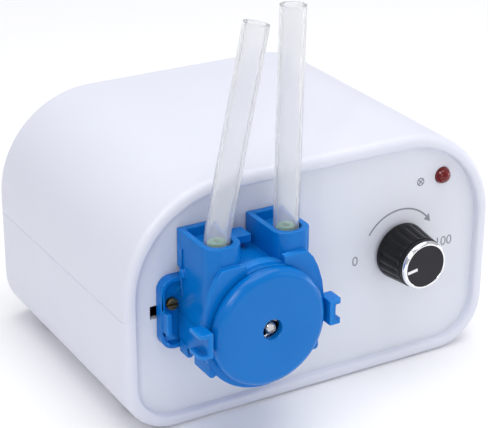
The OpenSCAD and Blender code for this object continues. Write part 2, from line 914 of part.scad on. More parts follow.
// C-shaped catch beside the disc, open outwards
module housing_clip() {
  h = flange_p + 4 - clip_back;
  translate([clip_in, -clip_half_h, clip_back]) cube([clip_web, 2 * clip_half_h, h]);
  for (s = [-1, 1])
    translate([0, s * (clip_half_h - clip_prong / 2), clip_back + h / 2]) rotate([90, 0, 0])
      translate([0, 0, -clip_prong / 2]) linear_extrude(clip_prong) polygon([
        [clip_in, -h / 2], [clip_out, -h / 2], [clip_out, h / 2 - 1.2],
        [clip_out - 0.8, h / 2], [clip_in, h / 2]]);
}

// Flat side wall below the axis, with two rounded legs
module housing_apron() {
  translate([apron_out - apron_t, apron_low, barrel_back])
    cube([apron_t, -apron_low, flange_p - barrel_back - 0.5]);
  for (span = leg_spans) {
    len = span[1] - span[0];
    translate([leg_out - leg_r, leg_low + leg_r, span[0]]) cylinder(r = leg_r, h = len);
    translate([leg_out - 2 * leg_r, leg_low + leg_r, span[0]])
      cube([2 * leg_r, apron_low - leg_low, len]);
  }
}

// Back of the towers: it runs on to the panel, above the bracket's rim
module tower_backs() {
  difference() {
    raise_plan(tower_back_z, tower_top) both_sides() tower_plan(0, tower_p0);
    on_pump(-overrun) cylinder(r = bracket_r + 0.3, h = overrun + barrel_back);
  }
}

// Catch across the gap between the towers
module top_catch() {
  raise_plan(18, 20.4) translate([-tower_in - 0.5, 1.6]) square(catch_tongue);
  raise_plan(15.5, 18.4) translate([-tower_in - 0.5, 2.6]) square(catch_rib);
}

module tower_nub() {
  for (side = [-1, 1])
    translate([pump_x + side * (tower_in + tower_w - 0.4), panel_y - nub_p, pump_z + nub_z])
      rotate([0, side * 90, 0]) cylinder(r = nub_r, h = nub_out);
}

module rotor_front() {
  round_r = 1.6;
  color("dodgerblue") on_pump(disc_back) difference() {
    rotate_extrude() disc_profile(round_r);
    translate([0, 0, -overrun])
      cylinder(r = disc_cavity_r, h = disc_front - disc_back - disc_face_t + overrun);
    translate([0, 0, -overrun]) cylinder(r = disc_hole_r, h = 10);
    each_roller() cylinder(r = pin_r + fit, h = pin_front - disc_back);
  }
}

// Half section of the disc: rounded front rim and a slim rounded back rim
module disc_profile(round_r) {
  h = disc_front - disc_back;
  back_r = 0.6;
  square([disc_r - round_r, h]);
  translate([0, back_r]) square([disc_r, h - round_r - back_r]);
  translate([disc_r - round_r, h - round_r]) circle(r = round_r);
  square([disc_r - back_r, back_r + 0.1]);
  translate([disc_r - back_r, back_r]) circle(r = back_r);
}

module each_roller() {
  for (a = roller_angles)
    translate([roller_orbit * cos(a), roller_orbit * sin(a), 0]) children();
}

module rotor_rear() {
  color("dodgerblue") on_pump(rotor_rear_p) difference() {
    cylinder(r = rotor_rear_r, h = rotor_rear_t);
    translate([0, 0, -overrun]) cylinder(r = sleeve_r + 0.8, h = 5);
    translate([0, 0, 0.4]) each_roller() cylinder(r = pin_r + fit, h = 5);
  }
}

module roller_pins() {
  color("silver") on_pump(rotor_rear_p + 0.4) each_roller()
    cylinder(r = pin_r, h = pin_front - rotor_rear_p - 0.4);
}

module roller(a) {
  chamfer = 0.4;
  len = roller_front - roller_back;
  color("lightgray") on_pump(roller_back)
    translate([roller_orbit * cos(a), roller_orbit * sin(a), 0]) rotate_extrude()
      polygon([[pin_r + running, 0], [roller_r - chamfer, 0], [roller_r, chamfer],
        [roller_r, len - chamfer], [roller_r - chamfer, len], [pin_r + running, len]]);
}

module roller_1() {
  roller(roller_angles[0]);
}

module roller_2() {
  roller(roller_angles[1]);
}

module roller_3() {
  roller(roller_angles[2]);
}

// Pump tube: pressed flat round the track, with a round leg up into each tower
module pump_tube() {
  color("ivory") {
    on_pump(tube_mid_p - flat_w / 2) rotate(180 - band_angle) rotate_extrude(angle = 180 + 2 * band_angle)
      translate([track_r - fit - flat_t, 0]) square([flat_t, flat_w]);
    for (side = [-1, 1]) tube_channel(side) translate([0, 0, leg_start])
      ring(tube_r, tube_bore_r, collar_z - leg_start);
  }
}

module tube_barbs() {
  color("mediumseagreen") for (side = [-1, 1]) tube_channel(side) difference() {
    union() {
      translate([0, 0, collar_z - 3.5]) cylinder(r = barb_r, h = 4);
      translate([0, 0, collar_z + fit]) cylinder(r = collar_r, h = collar_t - fit);
      translate([0, 0, collar_z + collar_t - 0.1]) cylinder(r = spigot_r - 0.3, h = spigot_h);
      for (k = [0 : 2]) translate([0, 0, hose_z + 1 + 2 * k])
        cylinder(r1 = spigot_r - running, r2 = spigot_r - 0.4, h = 1.6);
    }
    cylinder(r = barb_bore_r, h = 40);
  }
}

// Hose tail: stretched over its barb, up out of the tower, then leaning to its cut end
module hose(len, lean) {
  bore = hose_r - hose_wall;
  ring(hose_r, spigot_r + fit, spigot_h + 0.3);
  difference() {
    translate([0, 0, spigot_h + 0.2]) ring(hose_r, bore, hose_bend_h - spigot_h + hose_r);
    hose_mitre(lean) cube(40);
  }
  difference() {
    translate([0, 0, hose_bend_h]) rotate([0, lean, 0]) translate([0, 0, -hose_r])
      ring(hose_r, bore, len - hose_bend_h + hose_r);
    hose_mitre(lean) translate([0, 0, -40]) cube(40);
  }
}

// Cutting plane half way between the two directions of the hose
module hose_mitre(lean) {
  translate([0, 0, hose_bend_h]) rotate([0, lean / 2, 0]) translate([-20, -20, 0]) children();
}

module inlet_tube() {
  color("aliceblue") tube_channel(-1) translate([0, 0, hose_z]) hose(inlet_len, inlet_lean);
}

module outlet_tube() {
  color("aliceblue") tube_channel(1) translate([0, 0, hose_z]) hose(outlet_len, outlet_lean);
}

// ---------------------------------------------------------------- wiring

module motor_leads() {
  start_y = panel_y - motor_p + motor_len + end_cap_t + blade_out;
  end_x = board_x + block_x + block_size[0] / 2;
  color("firebrick") for (s = [-1, 1])
    lead([pump_x + s * blade_x, start_y, pump_z], [0, 12, 0],
      [end_x, board_y + block_pitch * (s - 1) / 2, board_top + block_size[2] - block_hole_h], [0, 0, 16]);
}

module jack_leads() {
  color("black") for (k = [0, 1])
    lead([jack_x - jack_tab_x * k, rear_y - jack_len - (k == 0 ? jack_tail : jack_tab_len), jack_z],
      [0, -5, 0], [board_x + 16 - 4 * k, board_y + 2, board_top], [0, 0, 8]);
}

module led_leads() {
  color("red") for (s = [-1, 1])
    lead([led_right + led_pitch / 2 * s, panel_y + panel_t + led_base_h + led_leg_len, led_z],
      [0, 12, 0], [board_x + 18.6 + 1.3 * s, board_y - 8, board_top], [0, 0, 16]);
}

module pot_leads() {
  color("gray") for (s = [-1, 0, 1])
    lead([knob_right + pot_lug_pitch * s, panel_y + panel_t + pot_lug_p - pot_lug_t / 2,
      knob_z - pot_r - pot_lug_out], [0, 0, -6],
      [board_x + 9.5 + 2.4 * s, board_y - 14, board_top], [0, 0, 7]);
}

upper_shell();
lower_shell();
case_screws();
front_panel();
rear_panel();
dc_jack();
dc_jack_pin();
dc_jack_nut();
jack_leads();
led();
led_leads();
knob_body();
knob_ring();
knob_cap();
knob_pointer();
pot_shaft();
pot_body();
pot_washer();
pot_nut();
pot_leads();
control_board();
board_screws();
board_capacitor();
board_terminals();
driver_chip();
motor_can();
motor_magnets();
motor_armature();
motor_shaft();
motor_brushes();
motor_end_cap();
motor_terminals();
motor_screws();
motor_leads();
drive_sleeve();
base_bracket();
bracket_screws();
bracket_nuts();
pump_housing();
rotor_front();
rotor_rear();
roller_pins();
roller_1();
roller_2();
roller_3();
pump_tube();
tube_barbs();
inlet_tube();
outlet_tube();
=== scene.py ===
"""The looks of a desktop peristaltic pump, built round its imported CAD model. Metres throughout."""
import json
import math

import bmesh
import bpy
from mathutils import Matrix, Vector


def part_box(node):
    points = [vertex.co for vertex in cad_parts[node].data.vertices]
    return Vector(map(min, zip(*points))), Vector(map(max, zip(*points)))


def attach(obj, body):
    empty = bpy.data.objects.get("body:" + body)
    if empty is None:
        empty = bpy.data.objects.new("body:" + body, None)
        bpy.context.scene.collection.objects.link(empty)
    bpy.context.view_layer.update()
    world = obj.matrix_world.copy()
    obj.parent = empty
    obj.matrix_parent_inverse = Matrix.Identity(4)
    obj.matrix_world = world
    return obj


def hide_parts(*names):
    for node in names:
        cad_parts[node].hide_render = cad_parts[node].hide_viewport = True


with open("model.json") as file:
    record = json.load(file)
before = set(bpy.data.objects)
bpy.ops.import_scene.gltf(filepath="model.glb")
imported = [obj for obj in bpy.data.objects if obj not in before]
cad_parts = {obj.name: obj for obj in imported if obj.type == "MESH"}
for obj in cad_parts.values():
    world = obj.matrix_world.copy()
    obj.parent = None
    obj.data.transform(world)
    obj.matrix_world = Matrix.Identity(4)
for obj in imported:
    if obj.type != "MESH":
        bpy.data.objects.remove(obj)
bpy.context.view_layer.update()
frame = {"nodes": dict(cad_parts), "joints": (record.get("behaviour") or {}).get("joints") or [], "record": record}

# ------------------------------------------------------------------ sizes

MM = 0.001

UPPER_LOW, UPPER_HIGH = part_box("upper_shell")
PANEL_LOW, PANEL_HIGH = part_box("front_panel")
CASE_W = UPPER_HIGH.x - UPPER_LOW.x
CASE_D = UPPER_HIGH.y - UPPER_LOW.y
CASE_H = UPPER_HIGH.z
SEAM_Z = UPPER_LOW.z
PANEL_Y = PANEL_LOW.y
PANEL_T = PANEL_HIGH.y - PANEL_LOW.y
RECESS = PANEL_Y - UPPER_LOW.y

TOP_R = 30.5 * MM
BOTTOM_R = 15.5 * MM
LIP_W = 3.9 * MM
WALL = 2.6 * MM
GROOVE_INSET = 1.5 * MM
GROOVE_PLAY = 0.2 * MM
GROOVE_T = PANEL_T + GROOVE_PLAY
RIB_T = 1.6 * MM
RIM_ROUND = 2.4 * MM
LIP_ROUND = 0.9 * MM
SEAM_GROOVE = 0.16 * MM
ARC_STEPS = 28
FILLET_STEPS = 6
ON_AXIS = 1e-9  # radius of a section's point on the axis it is turned about

JOINTS = {j["name"]: j for j in frame["joints"]}
PUMP_X, _, PUMP_Z = JOINTS["rotor_spin"]["pos_m"]
KNOB_X, _, KNOB_Z = JOINTS["knob_turn"]["pos_m"]
SLOT_OF = {s["node"]: s["material_slot"] for s in frame["record"]["subparts"]}
BODY_OF = {n: b for b, nodes in frame["record"]["behaviour"]["bodies"].items() for n in nodes}


def mid(node):
    """Middle of a CAD node's box."""
    low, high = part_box(node)
    return (low + high) / 2


def stands_out(node):
    """How far a CAD node reaches in front of the panel."""
    return PANEL_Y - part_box(node)[0].y


def srgb(r, g, b):
    """Linear colour of a display colour."""
    def channel(v):
        v /= 255
        return v / 12.92 if v <= 0.04045 else ((v + 0.055) / 1.055) ** 2.4
    return (channel(r), channel(g), channel(b), 1)


# ------------------------------------------------------------------ camera

CAMERA_AT = Vector((-223.47, -386.60, 239.64)) * MM
CAMERA_TARGET = Vector((1.16, 0, 37.86)) * MM
CAMERA_LENS = 120.17
CAMERA_SENSOR = 36
CAMERA_ROLL = math.radians(0.334)


def make_camera():
    camera = bpy.data.objects.new("camera", bpy.data.cameras.new("camera"))
    bpy.context.scene.collection.objects.link(camera)
    camera.data.sensor_width = CAMERA_SENSOR
    camera.data.lens = CAMERA_LENS
    camera.data.clip_start = 0.01
    camera.data.clip_end = 20
    ahead = (CAMERA_TARGET - CAMERA_AT).normalized()
    level = ahead.cross(Vector((0, 0, 1))).normalized()
    upward = level.cross(ahead)
    right = level * math.cos(CAMERA_ROLL) + upward * math.sin(CAMERA_ROLL)
    above = upward * math.cos(CAMERA_ROLL) - level * math.sin(CAMERA_ROLL)
    turn = Matrix((right, above, -ahead)).transposed()
    camera.matrix_world = Matrix.Translation(CAMERA_AT) @ turn.to_4x4()
    bpy.context.scene.camera = camera


make_camera()

# ------------------------------------------------------------------ materials


class Finish:
    """A node material under construction. Its coordinates are the frame's metres."""

    def __init__(self, name, colour, roughness, **sockets):
        self.material = bpy.data.materials.new(name)
        self.material.use_nodes = True
        self.tree = self.material.node_tree
        self.shader = self.tree.nodes["Principled BSDF"]
        self.shader.inputs["Base Color"].default_value = colour
        self.shader.inputs["Roughness"].default_value = roughness
        for socket, value in sockets.items():
            self.shader.inputs[socket.replace("_", " ")].default_value = value
        self.colour, self.roughness = colour, roughness
        self.place = self.tree.nodes.new("ShaderNodeTexCoord").outputs["Object"]
        self.bumped = None

    def link(self, a, b):
        self.tree.links.new(a, b)

    def noise(self, size, detail=3, stretch=None):
        """Noise whose features are about size across."""
        node = self.tree.nodes.new("ShaderNodeTexNoise")
        node.inputs["Scale"].default_value = 1 / size
        node.inputs["Detail"].default_value = detail
        place = self.place
        if stretch:
            mapping = self.tree.nodes.new("ShaderNodeMapping")
            mapping.inputs["Scale"].default_value = stretch
            self.link(place, mapping.inputs["Vector"])
            place = mapping.outputs["Vector"]
        self.link(place, node.inputs["Vector"])
        return node.outputs["Fac"]

    def ranged(self, value, low, high, start=0.3, stop=0.7):
        node = self.tree.nodes.new("ShaderNodeMapRange")
        for socket, number in zip(("From Min", "From Max", "To Min", "To Max"), (start, stop, low, high)):
            node.inputs[socket].default_value = number
        self.link(value, node.inputs["Value"])
        return node.outputs["Result"]

    def mottle(self, size, amount):
        """Slow light and dark drift of the colour."""
        self.tint(self.noise(size, 2), tuple(c * (1 - amount) for c in self.colour[:3]) + (1,), 0.3, 0.7)

    def tint(self, mask, other, start, stop):
        """Mixes another colour in where the mask is high."""
        mix = self.tree.nodes.new("ShaderNodeMix")
        mix.data_type = "RGBA"
        self.link(self.ranged(mask, 0, 1, start, stop), mix.inputs["Factor"])
        base = self.shader.inputs["Base Color"]
        if base.is_linked:
            self.link(base.links[0].from_socket, mix.inputs["A"])
        else:
            mix.inputs["A"].default_value = base.default_value
        mix.inputs["B"].default_value = other
        self.link(mix.outputs["Result"], base)

    def worn(self, other, start=0.53, stop=0.62):
        """Edges rubbed towards another colour."""
        self.tint(self.tree.nodes.new("ShaderNodeNewGeometry").outputs["Pointiness"], other, start, stop)

    def uneven(self, size, spread):
        """Roughness that varies from place to place."""
        value = self.ranged(self.noise(size, 4), self.roughness - spread, self.roughness + spread)
        self.link(value, self.shader.inputs["Roughness"])

    def grain(self, size, height, detail=2, stretch=None):
        """Surface texture, height deep."""
        bump = self.tree.nodes.new("ShaderNodeBump")
        bump.inputs["Distance"].default_value = height
        self.link(self.noise(size, detail, stretch), bump.inputs["Height"])
        if self.bumped:
            self.link(self.bumped, bump.inputs["Normal"])
        self.bumped = bump.outputs["Normal"]
        self.link(self.bumped, self.shader.inputs["Normal"])


def moulded(name, colour, roughness, drift=0.03, grain=0.4 * MM, depth=0.006 * MM, **sockets):
    """Injection moulded plastic: fine grain, faint flow marks, uneven gloss."""
    f = Finish(name, colour, roughness, **sockets)
    f.mottle(18 * MM, drift)
    f.uneven(5 * MM, min(0.05, roughness / 4))
    f.grain(grain, depth)
    return f


def metal(name, colour, roughness, stretch=None, **sockets):
    """Plated or turned metal: fine directional scratches and uneven gloss."""
    f = Finish(name, colour, roughness, Metallic=1, **sockets)
    f.mottle(3 * MM, 0.12)
    f.uneven(1.2 * MM, min(0.08, roughness / 3))
    f.grain(0.15 * MM, 0.004 * MM, stretch=stretch)
    return f


def case_finishes():
    white = moulded("white_abs", srgb(223, 225, 237), 0.42, 0.012, 0.35 * MM, 0.005 * MM)
    panel = moulded("panel_sheet", srgb(226, 229, 238), 0.5, 0.012, 0.22 * MM, 0.006 * MM)
    lamp = Finish("lamp_red", srgb(140, 3, 6), 0.14, Transmission_Weight=0.3, IOR=1.5, Coat_Weight=0.3,
                  Specular_IOR_Level=0.3)
    lamp.mottle(1.5 * MM, 0.25)
    lamp.grain(0.9 * MM, 0.004 * MM)
    return {"case_white": white, "panel_grey": panel, "lamp_red": lamp,
            "print": moulded("print_ink", srgb(146, 148, 156), 0.6, 0.06)}


def pump_finishes():
    blue = moulded("pump_blue", srgb(3, 116, 202), 0.2, 0.05, 0.7 * MM, 0.003 * MM, Specular_IOR_Level=0.2)
    blue.worn(srgb(60, 160, 240), 0.54, 0.66)
    disc = moulded("disc_blue", srgb(0, 114, 199), 0.2, 0.05, 0.7 * MM, 0.003 * MM, Specular_IOR_Level=0.25)
    return {"pump_blue": blue, "disc_blue": disc,
            "barb_green": moulded("barb_green", srgb(126, 190, 146), 0.35, 0.06)}


def hose_finishes():
    hose = Finish("hose_silicone", srgb(252, 253, 255), 0.2, Transmission_Weight=0.82, IOR=1.25)
    hose.mottle(9 * MM, 0.03)
    hose.uneven(4 * MM, 0.05)
    hose.grain(1.6 * MM, 0.004 * MM)
    tube = Finish("tube_silicone", srgb(226, 222, 206), 0.35, Transmission_Weight=0.3, IOR=1.41)
    tube.mottle(5 * MM, 0.05)
    tube.grain(0.8 * MM, 0.01 * MM)
    return {"hose_clear": hose, "tube_clear": tube}


def knob_finishes():
    grip = moulded("knob_black", srgb(9, 8, 11), 0.34, 0.2, 0.3 * MM, 0.006 * MM, Specular_IOR_Level=0.25)
    grip.worn(srgb(46, 44, 46), 0.54, 0.66)
    face = moulded("knob_face", srgb(38, 37, 44), 0.48, 0.05, 0.12 * MM, 0.004 * MM, Specular_IOR_Level=0.25)
    return {"knob_black": grip, "knob_face": face,
            "knob_chrome": metal("knob_chrome", srgb(250, 250, 252), 0.09),
            "pointer_white": moulded("pointer_white", srgb(245, 245, 245), 0.4, 0.02)}


def metal_finishes():
    return {"steel": metal("turned_steel", srgb(196, 196, 198), 0.26, (1, 6, 1)),
            # The screws' brass colour is darkened with painted shade, for the dark look they have half hidden
            # under the housing's ear lugs.
            "screw_brass": metal("brass_painted_shade", srgb(150, 124, 80), 0.34),
            "can_steel": metal("zinc_can", srgb(182, 184, 188), 0.36, (1, 5, 1)),
            "winding": metal("copper_winding", srgb(186, 104, 58), 0.38, (8, 1, 1))}


def inside_finishes():
    return {"socket_black": moulded("socket_black", srgb(28, 28, 30), 0.45, 0.15),
            "magnet": moulded("ferrite", srgb(66, 64, 66), 0.7, 0.2),
            "board_green": moulded("solder_mask", srgb(28, 104, 62), 0.3, 0.12, 1.5 * MM),
            "terminal_green": moulded("terminal_green", srgb(46, 138, 92), 0.45, 0.06),
            "component_dark": moulded("component_dark", srgb(40, 40, 48), 0.5, 0.12),
            "wire_red": moulded("wire_red", srgb(186, 32, 32), 0.4, 0.06),
            "wire_black": moulded("wire_black", srgb(30, 30, 32), 0.4, 0.1),
            "wire_grey": moulded("wire_grey", srgb(150, 150, 154), 0.4, 0.06)}


def make_finishes():
    groups = case_finishes, pump_finishes, hose_finishes, knob_finishes, metal_finishes, inside_finishes
    made = {}
    for group in groups:
        made.update(group())
    return {slot: f.material for slot, f in made.items()}


FINISH = make_finishes()

# ------------------------------------------------------------------ mesh tools

SHARP = math.radians(32)
WELD = 1e-7
SKIN_WELD = 2e-6
SKIN_FLAT = math.radians(0.6)
SKIN_CORNER = math.radians(35)


def place(name, mesh, body, slot, replaced=()):
    """Puts a finished mesh in the scene as a piece on a body."""
    piece = bpy.data.objects.new(name, mesh)
    bpy.context.scene.collection.objects.link(piece)
    mesh.materials.clear()
    mesh.materials.append(FINISH[slot])
    soften(mesh)
    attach(piece, body)
    if replaced:
        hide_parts(*replaced)
    return piece


def soften(mesh):
    mesh.polygons.foreach_set("use_smooth", [True] * len(mesh.polygons))
    mesh.set_sharp_from_angle(angle=SHARP)


def mesh_of(name, verts, faces):
    mesh = bpy.data.meshes.new(name)
    mesh.from_pydata([tuple(v) for v in verts], [], faces)
    bm = bmesh.new()
    bm.from_mesh(mesh)
    bmesh.ops.remove_doubles(bm, verts=bm.verts, dist=WELD)
    bmesh.ops.recalc_face_normals(bm, faces=bm.faces)
    bm.to_mesh(mesh)
    bm.free()
    return mesh


def loops(rows, close_rows):
    """Quads between successive closed rows of points. close_rows joins the last row to the first."""
    n = len(rows[0])
    verts = [v for row in rows for v in row]
    faces = []
    for i in range(len(rows) - (0 if close_rows else 1)):
        a, b = i * n, (i + 1) % len(rows) * n
        for k in range(n):
            m = (k + 1) % n
            faces.append((a + k, a + m, b + m, b + k))
    return verts, faces


def fillet(cx, cy, r, start, stop, steps=FILLET_STEPS):
    """Arc of points from one angle to another, in degrees."""
    points = []
    for i in range(steps + 1):
        a = math.radians(start + (stop - start) * i / steps)
        points.append((cx + r * math.cos(a), cy + r * math.sin(a)))
    return points


def out_of_panel(x, z):
    """Frame on the front panel at x, z, with its Z pointing out of it."""
    return Matrix.Translation((x, PANEL_Y, z)) @ Matrix.Rotation(math.radians(90), 4, "X")


def turned(profile, where, segments=96, shape=None):
    """Closed section of (radius, height) points turned about the Z of a frame.
    shape(r, h, angle) may alter a point's radius."""
    rows = []
    for i in range(segments):
        a = 2 * math.pi * i / segments
        row = []
        for r, h in profile:
            radius = shape(r, h, a) if shape else r
            row.append(where @ Vector((radius * math.cos(a), radius * math.sin(a), h)))
        rows.append(row)
    return loops(rows, True)


def skin(node, edge, segments=2):
    """A CAD node's own shape with its edges rounded, standing for the node."""
    source = frame["nodes"][node]
    bm = bmesh.new()
    bm.from_mesh(source.data)
    bmesh.ops.remove_doubles(bm, verts=bm.verts, dist=SKIN_WELD)
    bmesh.ops.dissolve_limit(bm, angle_limit=SKIN_FLAT, verts=bm.verts, edges=bm.edges)
    mesh = bpy.data.meshes.new(node + "_skin")
    bm.to_mesh(mesh)
    bm.free()
    piece = place(node + "_skin", mesh, BODY_OF[node], SLOT_OF[node], [node])
    bevel = piece.modifiers.new("rounded_edges", "BEVEL")
    bevel.width = edge
    bevel.segments = segments
    bevel.limit_method = "ANGLE"
    bevel.angle_limit = SKIN_CORNER
    bevel.use_clamp_overlap = False
    bevel.miter_outer = "MITER_ARC"
    bevel.harden_normals = False
    normals = piece.modifiers.new("even_shading", "WEIGHTED_NORMAL")
    normals.keep_sharp = False
    return piece


# ------------------------------------------------------------------ hoses, made first

HOSE_R = 3.5 * MM
HOSE_BORE = 2.5 * MM
HOSE_STRETCHED = 2.74 * MM
HOSE_SPIGOT = 7.3 * MM
HOSE_BEND = 8 * MM
HOSE_CURVE = 3 * MM
HOSE_RINGS = 30
HOSE_SIDES = 48


def hose_line(node, length, lean):
    """Centre line: up out of the tower, round one slight bend, then straight to the cut end."""
    low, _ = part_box(node)
    start = Vector((BARB_X[node], mid("tube_barbs").y, low.z))
    turn = math.radians(lean)
    points = []
    straight = HOSE_BEND - HOSE_CURVE
    x = z = 0.0
    step = length / HOSE_RINGS
    for i in range(HOSE_RINGS + 1):
        points.append(start + Vector((x, 0, z)))
        along = (i + 0.5) * step
        share = min(max((along - straight) / (2 * HOSE_CURVE), 0), 1)
        angle = turn * share
        x += step * math.sin(angle)
        z += step * math.cos(angle)
    return points


def make_hose(name, node, length, lean):
    line = hose_line(node, length, lean)
    inner, outer = [], []
    last = len(line) - 1
    for i, point in enumerate(line):
        ahead = (line[min(i + 1, last)] - line[max(i - 1, 0)]).normalized()
        side = ahead.cross(Vector((0, 1, 0))).normalized()
        across = ahead.cross(side)
        along = length * i / last
        bore = HOSE_STRETCHED if along < HOSE_SPIGOT else HOSE_BORE
        for radius, rows in ((HOSE_R, outer), (bore, inner)):
            rows.append([point + radius * (math.cos(a) * side + math.sin(a) * across)
                         for a in (2 * math.pi * k / HOSE_SIDES for k in range(HOSE_SIDES))])
    verts, faces = loops(outer + inner[::-1], True)
    piece = place(name, mesh_of(name, verts, faces), "case", "hose_clear", [node])
    return piece


BARB_LOW, BARB_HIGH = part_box("tube_barbs")
BARB_HALF = (BARB_HIGH.y - BARB_LOW.y) / 2
BARB_X = {"inlet_tube": BARB_LOW.x + BARB_HALF, "outlet_tube": BARB_HIGH.x - BARB_HALF}
make_hose("hose_left", "inlet_tube", 65 * MM, 11.5)
make_hose("hose_right", "outlet_tube", 67 * MM, 1)

# ------------------------------------------------------------------ case

POST_INSET_X = 10 * MM
POST_INSET_Y = 15 * MM
POST_X = CASE_W / 2 - POST_INSET_X
POST_Y = CASE_D / 2 - POST_INSET_Y
POST_R = 4 * MM
POST_TOP_GAP = 0.1 * MM
SCREW_HEAD_H = 2 * MM
SCREW_HOLE_R = 1.7 * MM
WELL_R = 3.1 * MM
WELL_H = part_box("case_screws")[0].z + SCREW_HEAD_H
CUT_PAST = 2 * MM
TOOL_SIDES = 48


def half_outline(inset, upper, seam_inset):
    """Half of the case's outline, as (x, z), from its left seam round to its right one."""
    half = CASE_W / 2
    r = TOP_R if upper else BOTTOM_R
    centre_z = CASE_H - r if upper else r
    way = 1 if upper else -1
    points = [(-(half - seam_inset), SEAM_Z), (-(half - inset), SEAM_Z + way * SEAM_GROOVE)]
    for side, start, stop in ((-1, 180, 90), (1, 90, 0)):
        for x, z in fillet(side * (half - r), 0, r - inset, start, stop, ARC_STEPS):
            points.append((x, centre_z + way * z))
    points += [(half - inset, SEAM_Z + way * SEAM_GROOVE), (half - seam_inset, SEAM_Z)]
    return points


def case_section():
    """Section through the case wall, as (inset, y, on the outside)."""
    end = -CASE_D / 2
    groove = end + RECESS
    front = [(r, y, True) for r, y in fillet(RIM_ROUND, end + RIM_ROUND, RIM_ROUND, 180, 270)]
    front += [(r, y, True) for r, y in fillet(LIP_W - LIP_ROUND, end + LIP_ROUND, LIP_ROUND, 270, 360)]
    front += [
        (LIP_W, groove, False),
        (GROOVE_INSET, groove, False),
        (GROOVE_INSET, groove + GROOVE_T, False),
        (LIP_W, groove + GROOVE_T, False),
        (LIP_W, groove + GROOVE_T + RIB_T, False),
        (WALL, groove + GROOVE_T + RIB_T, False),
    ]
    return front + [(inset, -y, outside) for inset, y, outside in reversed(front)]


def case_half(name, upper):
    section = case_section()
    columns = []
    for inset, y, outside in section:
        seam_inset = inset + SEAM_GROOVE if outside else inset
        columns.append([Vector((x, y, z)) for x, z in half_outline(inset, upper, seam_inset)])
    n, rows = len(columns[0]), len(columns)
    verts = [v for column in columns for v in column]
    faces = []
    for i in range(rows):
        a, b = i * n, (i + 1) % rows * n
        faces += [(a + k, a + k + 1, b + k + 1, b + k) for k in range(n - 1)]
    faces.append([i * n for i in range(rows)])
    faces.append([i * n + n - 1 for i in range(rows)][::-1])
    return mesh_of(name, verts, faces)


def upright(x, y):
    return Matrix.Translation((x, y, 0))


def tool(profile, where):
    """Temporary round solid for a boolean."""
    mesh = mesh_of("tool", *turned(profile, where, TOOL_SIDES))
    made = bpy.data.objects.new("tool", mesh)
    bpy.context.scene.collection.objects.link(made)
    return made


def rod(radius, low, high):
    return [(ON_AXIS, low), (radius, low), (radius, high), (ON_AXIS, high)]


def wall_middle(x):
    """Height of the middle of the case's bottom wall, which curves up at the sides."""
    past = max(abs(x) - (CASE_W / 2 - BOTTOM_R), 0)
    return BOTTOM_R - math.sqrt((BOTTOM_R - WALL / 2) ** 2 - past ** 2)


def combine(mesh, profile, operation):
    """The mesh with a round solid joined or cut at each screw post. A joined one stands in the wall."""
    base = bpy.data.objects.new("base", mesh)
    bpy.context.scene.collection.objects.link(base)
    for sx in (-1, 1):
        for sy in (-1, 1):
            other = tool(profile, upright(sx * POST_X, sy * POST_Y))
            if operation == "UNION":
                for vertex in other.data.vertices:
                    vertex.co.z = max(vertex.co.z, wall_middle(vertex.co.x))
            step = base.modifiers.new("step", "BOOLEAN")
            step.object, step.operation, step.solver = other, operation, "EXACT"
            view = bpy.context.evaluated_depsgraph_get()
            result = bpy.data.meshes.new_from_object(base.evaluated_get(view))
            base.modifiers.clear()
            base.data = result
            bpy.data.objects.remove(other)
    result = base.data
    bpy.data.objects.remove(base)
    return result


def make_case():
    place("case_top", case_half("case_top", True), "case", "case_white", ["upper_shell"])
    lower = case_half("case_bottom", False)
    lower = combine(lower, rod(POST_R, 0, SEAM_Z - POST_TOP_GAP), "UNION")
    lower = combine(lower, rod(WELL_R, -CUT_PAST, WELL_H), "DIFFERENCE")
    lower = combine(lower, rod(SCREW_HOLE_R, 0, SEAM_Z + CUT_PAST), "DIFFERENCE")
    place("case_bottom", lower, "case", "case_white", ["lower_shell"])


make_case()
PANEL_EDGE = 0.12 * MM
for panel in ("front_panel", "rear_panel"):
    skin(panel, PANEL_EDGE)

# ------------------------------------------------------------------ panel print

PRINT_T = 0.04 * MM
SCALE_R = 12.5 * MM
SCALE_LINE = 0.5 * MM
SCALE_START = 148
SCALE_STOP = 42
ARROW_LONG = 11
ARROW_HALF = 1.15 * MM
LAMP_MARK = (36.1 * MM, 56.2 * MM)
LAMP_MARK_R = 1.25 * MM
LOW_MARK = (14.3 * MM, 35.9 * MM)
HIGH_MARK = (45.4 * MM, 35.3 * MM)
MARK_H = 3.1 * MM
MARK_LINE = 0.32 * MM
MARK_SIDES = 48
SCALE_STEPS = 40
FONT_TO_NUMBER = 1.35  # a font's size over the height of its numbers


def flat_print(name, outline, origin=(0, 0)):
    """A thin raised shape on the panel from an outline of (x, z) points."""
    x0, z0 = origin
    n = len(outline)
    verts = [(x0 + x, PANEL_Y - h, z0 + z) for h in (0, PRINT_T) for x, z in outline]
    faces = [list(range(n)), list(range(n, 2 * n))[::-1]]
    faces += [(k, (k + 1) % n, n + (k + 1) % n, n + k) for k in range(n)]
    return place(name, mesh_of(name, verts, faces), "case", "print")


def print_scale():
    outer = fillet(0, 0, SCALE_R + SCALE_LINE / 2, SCALE_START, SCALE_STOP, SCALE_STEPS)
    inner = fillet(0, 0, SCALE_R - SCALE_LINE / 2, SCALE_STOP, SCALE_START, SCALE_STEPS)
    flat_print("scale_line", outer + inner, (KNOB_X, KNOB_Z))
    base, tip = math.radians(SCALE_STOP), math.radians(SCALE_STOP - ARROW_LONG)
    head = [(math.cos(a) * r, math.sin(a) * r) for a, r in (
        (base, SCALE_R - ARROW_HALF), (base, SCALE_R + ARROW_HALF), (tip, SCALE_R))]
    flat_print("scale_arrow", head, (KNOB_X, KNOB_Z))


